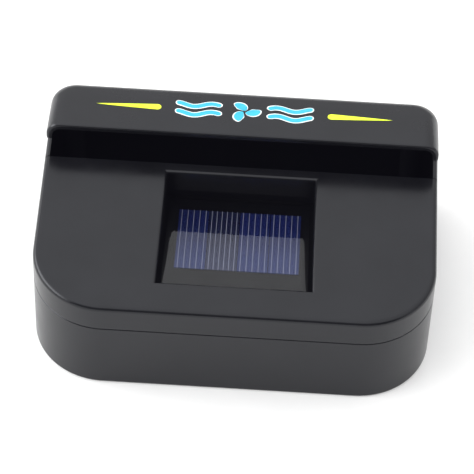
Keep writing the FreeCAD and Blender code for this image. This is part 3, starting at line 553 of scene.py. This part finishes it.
def stripe_strokes(side):
    """Straight stripe that tapers to a point away from the middle."""

    def line(t):
        return Vector((side * (STRIPE_START + t * STRIPE_LENGTH), 0.0))

    def half(t):
        return max(STRIPE_WIDTH / 2 * (1.0 - t) ** STRIPE_TAPER, STRIPE_TIP)

    return [stroke(line, half, STRIPE_LENGTH)]


def printed_piece(name, strokes, surface, rise, material):
    """Thin closed film of ink that follows the roof, one island for each stroke."""
    mesh = bmesh.new()
    for pairs in strokes:
        rings = []
        for left, right in pairs:
            top = [mesh.verts.new(surface.point(p.x, p.y, rise + INK_THICKNESS)) for p in (left, right)]
            low = [mesh.verts.new(surface.point(p.x, p.y, rise)) for p in (right, left)]
            rings.append(top + low)
        for first, second in zip(rings, rings[1:]):
            for k in range(4):
                j = (k + 1) % 4
                mesh.faces.new((first[k], first[j], second[j], second[k]))
        mesh.faces.new(rings[0][::-1])
        mesh.faces.new(rings[-1])
    bmesh.ops.recalc_face_normals(mesh, faces=mesh.faces)
    data = bpy.data.meshes.new(name)
    mesh.to_mesh(data)
    mesh.free()
    data.materials.append(material)
    piece = bpy.data.objects.new(name, data)
    bpy.context.scene.collection.objects.link(piece)
    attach(piece, HOUSING)


def print_mark():
    """White outline, cyan rotor and air lines over it, and a lime stripe on each side."""
    surface = HoodSurface()
    marks = rotor_strokes(0.0) + breeze_strokes(-1, 0.0) + breeze_strokes(1, 0.0)
    outlines = rotor_strokes(OUTLINE_WIDTH)
    outlines += breeze_strokes(-1, OUTLINE_WIDTH) + breeze_strokes(1, OUTLINE_WIDTH)
    stripes = stripe_strokes(-1) + stripe_strokes(1)
    white = ink("ink_white", INK_WHITE, (0.78, 0.84, 0.88))
    cyan = ink("ink_cyan", CYAN, (0.06, 0.60, 0.76))
    lime = ink("ink_lime", LIME, (0.86, 1.0, 0.10))
    printed_piece("mark_outline", outlines, surface, MARK_RISE, white)
    printed_piece("mark_airflow", marks, surface, MARK_RISE + INK_THICKNESS * 1.5, cyan)
    printed_piece("mark_stripes", stripes, surface, MARK_RISE, lime)


# ---------------------------------------------------------------- studio


def make_camera():
    """Long lens from the front, half above, with the picture turned a little."""
    sin_a, cos_a = math.sin(CAMERA_AZIMUTH), math.cos(CAMERA_AZIMUTH)
    sin_e, cos_e = math.sin(CAMERA_ELEVATION), math.cos(CAMERA_ELEVATION)
    right = Vector((cos_a, sin_a, 0))
    ahead = Vector((-sin_a, cos_a, 0))
    up = ahead * sin_e + Vector((0, 0, cos_e))
    back = Vector((0, 0, sin_e)) - ahead * cos_e
    rolled_right = right * math.cos(CAMERA_ROLL) + up * math.sin(CAMERA_ROLL)
    rolled_up = up * math.cos(CAMERA_ROLL) - right * math.sin(CAMERA_ROLL)
    seam = Vector((0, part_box("front_cover")[1].y + SEAM_GAP, 0))
    camera = bpy.data.objects.new("camera", bpy.data.cameras.new("camera"))
    camera.matrix_world = Matrix.Translation(seam + back * CAMERA_DISTANCE) @ Matrix(
        (rolled_right, rolled_up, back)).transposed().to_4x4()
    camera.data.sensor_width = SENSOR_WIDTH
    camera.data.lens = CAMERA_LENS
    camera.data.shift_x, camera.data.shift_y = CAMERA_SHIFT
    camera.data.clip_end = CAMERA_REACH
    bpy.context.scene.collection.objects.link(camera)
    bpy.context.scene.camera = camera


def make_floor():
    """Wide sheet of paper just under the object."""
    data = bpy.data.meshes.new("floor")
    corners = [(-1, -1), (1, -1), (1, 1), (-1, 1)]
    height = CAD_LOW.z - FLOOR_DROP
    data.from_pydata([(x * FLOOR_HALF, y * FLOOR_HALF, height) for x, y in corners], [], [(0, 1, 2, 3)])
    data.materials.append(floor_paper("floor_paper"))
    floor = bpy.data.objects.new("floor", data)
    bpy.context.scene.collection.objects.link(floor)


def light_studio():
    """White tent, brighter overhead, dim behind the camera, with a wide soft lamp on the left."""
    scene = bpy.context.scene
    scene.view_settings.view_transform = "Standard"
    scene.view_settings.use_curve_mapping = True
    scene.view_settings.curve_mapping.black_level = [-value for value in BLACK_LIFT]
    scene.view_settings.curve_mapping.update()
    world = bpy.data.worlds.new("studio")
    world.use_nodes = True
    tree = world.node_tree

    def add(kind, **settings):
        made = tree.nodes.new(kind)
        for key, value in settings.items():
            setattr(made, key, value)
        return made

    def ramp(socket, limits, to_low, to_high):
        made = add("ShaderNodeMapRange", interpolation_type="SMOOTHSTEP")
        tree.links.new(socket, made.inputs["Value"])
        made.inputs["From Min"].default_value = limits[0]
        made.inputs["From Max"].default_value = limits[1]
        made.inputs["To Min"].default_value = to_low
        made.inputs["To Max"].default_value = to_high
        return made.outputs["Result"]

    def join(operation, first, second):
        made = add("ShaderNodeMath", operation=operation)
        tree.links.new(first, made.inputs[0])
        tree.links.new(second, made.inputs[1])
        return made.outputs[0]

    axes = add("ShaderNodeSeparateXYZ")
    tree.links.new(add("ShaderNodeTexCoord").outputs["Generated"], axes.inputs[0])
    x, y, z = axes.outputs
    overhead = ramp(z, SKY_RISE, SKY_LOW, SKY_HIGH)
    tent = join("MULTIPLY", overhead, ramp(x, SKY_SIDES, SKY_LEFT, SKY_RIGHT))
    behind_camera = join("MULTIPLY", ramp(y, FRONT_DEPTH, 1.0, 0.0), ramp(z, FRONT_TOP, 1.0, 0.0))
    tent = join("MULTIPLY", tent, ramp(behind_camera, (0.0, 1.0), 1.0, FRONT_SHARE))
    lamp_height = join("MULTIPLY", ramp(z, LAMP_BOTTOM, 0.0, 1.0), ramp(z, LAMP_TOP, 1.0, 0.0))
    lamp = join("MULTIPLY", lamp_height, ramp(x, LAMP_SIDE, LAMP, 0.0))
    background = tree.nodes["Background"]
    background.inputs["Color"].default_value = (1.0, 1.0, 1.0, 1.0)
    tree.links.new(join("ADD", tent, lamp), background.inputs["Strength"])
    scene.world = world


dress_frame()
print_mark()
make_floor()
light_studio()
make_camera()
